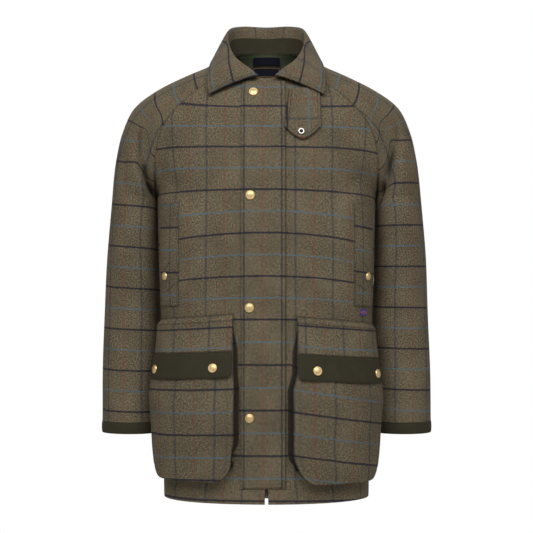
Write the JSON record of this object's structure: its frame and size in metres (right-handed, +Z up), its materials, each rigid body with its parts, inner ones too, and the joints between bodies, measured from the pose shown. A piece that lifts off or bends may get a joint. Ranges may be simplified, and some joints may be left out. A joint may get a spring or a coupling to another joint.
{
  "type": "tweed jacket",
  "caption": "Filled-out checked tweed field jacket with raglan sleeves, fold collar, snap storm placket, throat tab, bellows pockets and moleskin trim, open at neck, hem and cuffs",
  "frame": {"origin": "the centre of the neck opening, level with the points where shoulder and neck meet, where the wearer's shoulders carry the jacket", "axes": "+Z up the jacket, -Y out of its front, +X to the wearer's left"},
  "size_m": [0.614, 0.295, 0.8761],
  "materials": {
    "tweed": "checked wool tweed",
    "moleskin": "dark olive cotton moleskin",
    "lining": "smooth olive lining",
    "brass": "polished antique brass",
    "nickel": "bright nickel",
    "zip_tape": "woven tape",
    "label": "woven label, bare",
    "flag": "woven label"
  },
  "bodies": {
    "root": {"back": "tweed", "front_right": "tweed", "sleeve_front_right": "tweed", "sleeve_back_right": "tweed", "cuff_right": "moleskin", "front_left": "tweed", "sleeve_front_left": "tweed", "sleeve_back_left": "tweed", "cuff_left": "moleskin", "collar": "tweed", "collar_stand": "moleskin", "placket": "tweed", "zip_tape": "zip_tape", "throat_tab": "tweed", "throat_ring": "nickel", "pocket_right": "tweed", "pocket_flap_right": "tweed", "flap_band_right": "moleskin", "hand_flap_right": "tweed", "flap_snap_right_1": "brass", "flap_snap_right_2": "brass", "hand_snap_right": "brass", "pocket_left": "tweed", "pocket_flap_left": "tweed", "flap_band_left": "moleskin", "hand_flap_left": "tweed", "flap_snap_left_1": "brass", "flap_snap_left_2": "brass", "hand_snap_left": "brass", "placket_snap_1": "brass", "placket_snap_2": "brass", "placket_snap_3": "brass", "placket_snap_4": "brass", "neck_lining": "lining", "label_upper": "label", "label_lower": "label", "flag_label": "flag"}
  },
  "joints": []
}
